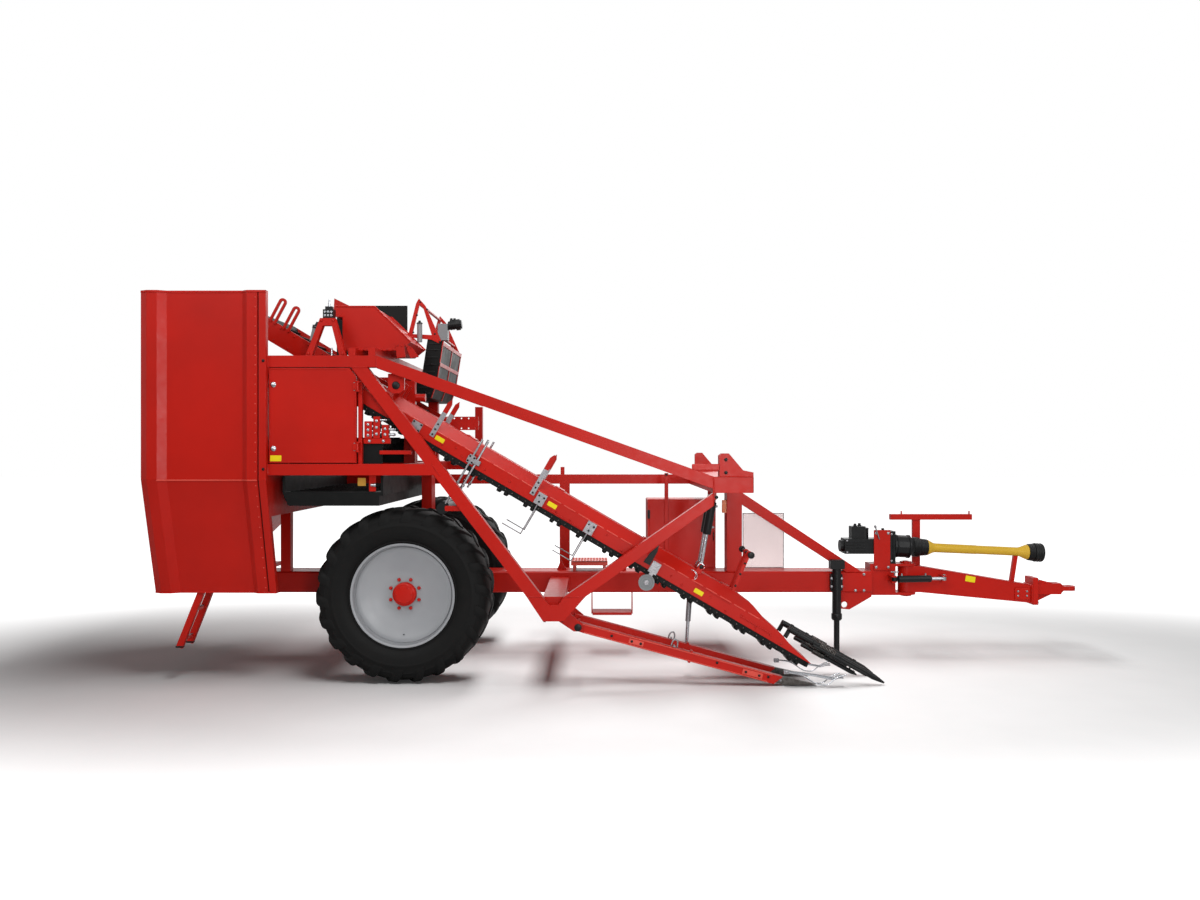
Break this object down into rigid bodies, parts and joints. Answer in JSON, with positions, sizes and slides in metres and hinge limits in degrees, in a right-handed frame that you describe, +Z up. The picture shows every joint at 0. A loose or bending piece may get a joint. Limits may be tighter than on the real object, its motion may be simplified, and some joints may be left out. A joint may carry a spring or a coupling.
{
  "type": "trailed one-row potato and root harvester",
  "caption": "Trailed one-row root harvester: rear bunker, two farm wheels, inclined lifting channel with share arms, steered drawbar and PTO shaft.",
  "frame": {"origin": "bottom centre of the whole machine's box, on the ground", "axes": "+X forward to the towing eye, +Y to the machine's left, +Z up"},
  "size_m": [8.7118, 2.6, 3.49],
  "materials": {
    "red_paint": "semi-gloss powder coat",
    "tyre_rubber": "matt",
    "rim_paint": "satin grey",
    "black_rubber": "matt",
    "black_paint": "satin",
    "chrome": "polished",
    "galvanised": "galvanised",
    "grey_paint": "satin grey",
    "bare_steel": "worn by soil",
    "yellow_plastic": "moulded",
    "pale_sheet": "clear sheet"
  },
  "bodies": {
    "chassis": {"axle": "red_paint", "bunker_elevator": "red_paint", "bunker_ends": "red_paint", "bunker_left_wall": "red_paint", "bunker_right_wall": "red_paint", "cabinet": "red_paint", "cleaning_rollers": "black_rubber", "cross_conveyor": "black_rubber", "discharge_frame": "red_paint", "drive_gearbox": "black_paint", "drive_motors": "grey_paint", "elevator_belt": "black_rubber", "guard_panel": "pale_sheet", "hydraulic_units": "black_paint", "jack_tube": "black_paint", "ladder": "red_paint", "leaf_conveyor": "black_rubber", "leaf_hood": "red_paint", "left_rails": "red_paint", "left_upper_frame": "red_paint", "main_beam": "red_paint", "pivot_frame": "red_paint", "portal": "red_paint", "right_chord": "red_paint", "right_diagonals": "red_paint", "right_rail": "red_paint", "share_mount": "red_paint"},
    "wheel_right": {"tyre_right": "tyre_rubber", "rim_right": "rim_paint", "hub_right": "red_paint"},
    "wheel_left": {"tyre_left": "tyre_rubber", "rim_left": "rim_paint", "hub_left": "red_paint"},
    "drawbar_swing": {"drawbar": "red_paint", "pto_shaft": "yellow_plastic", "pto_guards": "black_paint"},
    "steer_cylinder": {"steer_barrel": "black_paint"},
    "steer_ram": {"steer_rod": "chrome"},
    "lift_unit": {"lift_frame": "red_paint", "lift_belts": "black_rubber", "crop_dividers": "black_paint", "channel_fittings": "galvanised", "channel_rollers": "black_paint"},
    "guide": {"guide_wheel": "grey_paint"},
    "lift_cylinders": {"lift_barrels": "black_paint"},
    "lift_rams": {"lift_rods": "chrome"},
    "share": {"share_arms": "red_paint", "share_points": "bare_steel"},
    "strut_outer": {"strut_tube": "galvanised"},
    "strut_inner": {"strut_rod": "chrome"},
    "jack": {"jack_leg": "black_paint"},
    "door": {"side_door": "red_paint"}
  },
  "joints": [
    {"name": "wheel_right_turn", "type": "hinge", "parent": "chassis", "child": "wheel_right", "pos_m": [-2.174, -0.85, 0.77], "axis": [0, 1, 0], "continuous": true},
    {"name": "wheel_left_turn", "type": "hinge", "parent": "chassis", "child": "wheel_left", "pos_m": [-2.174, 0.85, 0.77], "axis": [0, 1, 0], "continuous": true},
    {"name": "drawbar_steer", "type": "hinge", "parent": "chassis", "child": "drawbar_swing", "pos_m": [2.646, 0.26, 0.745], "axis": [0, 0, 1], "range_deg": [-18, 18]},
    {"name": "steer_cylinder_turn", "type": "hinge", "parent": "chassis", "child": "steer_cylinder", "pos_m": [2.466, 0.04, 0.765], "axis": [0, 0, 1], "range_deg": [-10.99, 10.99]},
    {"name": "steer_ram_slide", "type": "slide", "parent": "steer_cylinder", "child": "steer_ram", "axis": [0.9942, 0.1072, 0], "range_m": [-0.06286, 0.06286]},
    {"name": "channel_lift", "type": "hinge", "parent": "chassis", "child": "lift_unit", "pos_m": [-2.205, -0.92, 2.599], "axis": [0, -1, 0], "range_deg": [0, 5]},
    {"name": "lift_cylinder_turn", "type": "hinge", "parent": "chassis", "child": "lift_cylinders", "pos_m": [0.546, -0.92, 1.63], "axis": [0, -1, 0], "range_deg": [0, 12.08]},
    {"name": "lift_ram_slide", "type": "slide", "parent": "lift_cylinders", "child": "lift_rams", "axis": [-0.1738, 0, -0.9848], "range_m": [-0.24731, 0]},
    {"name": "share_lift", "type": "hinge", "parent": "chassis", "child": "share", "pos_m": [-0.637, -0.92, 0.514], "axis": [0, -1, 0], "range_deg": [0, 10.02]},
    {"name": "guide_wheel_turn", "type": "hinge", "parent": "lift_unit", "child": "guide", "pos_m": [-0.04689, -1.145, 0.89893], "axis": [0, 1, 0], "continuous": true},
    {"name": "strut_turn", "type": "hinge", "parent": "lift_unit", "child": "strut_outer", "pos_m": [0.37679, -0.69, 0.83169], "axis": [0, -1, 0], "range_deg": [-14.81, 0]},
    {"name": "strut_slide", "type": "slide", "parent": "strut_outer", "child": "strut_inner", "axis": [-0.0658, 0, -0.9978], "range_m": [0, 0.07321]},
    {"name": "jack_slide", "type": "slide", "parent": "chassis", "child": "jack", "axis": [0, 0, 1], "range_m": [0, 0.35]},
    {"name": "side_door_hinge", "type": "hinge", "parent": "chassis", "child": "door", "pos_m": [-2.514, -1.258, 2.35], "axis": [0, 0, 1], "range_deg": [0, 110]}
  ],
  "couplings": [
    {"joint": "steer_cylinder_turn", "follows": "drawbar_steer", "ratio": 0.60759},
    {"joint": "steer_ram_slide", "follows": "drawbar_steer", "m_per_rad": 0.1985},
    {"joint": "lift_cylinder_turn", "follows": "channel_lift", "ratio": 2.4058},
    {"joint": "lift_ram_slide", "follows": "channel_lift", "m_per_rad": -2.8283},
    {"joint": "share_lift", "follows": "channel_lift", "ratio": 2},
    {"joint": "strut_turn", "follows": "channel_lift", "ratio": -2.9513},
    {"joint": "strut_slide", "follows": "channel_lift", "m_per_rad": 0.8332}
  ]
}
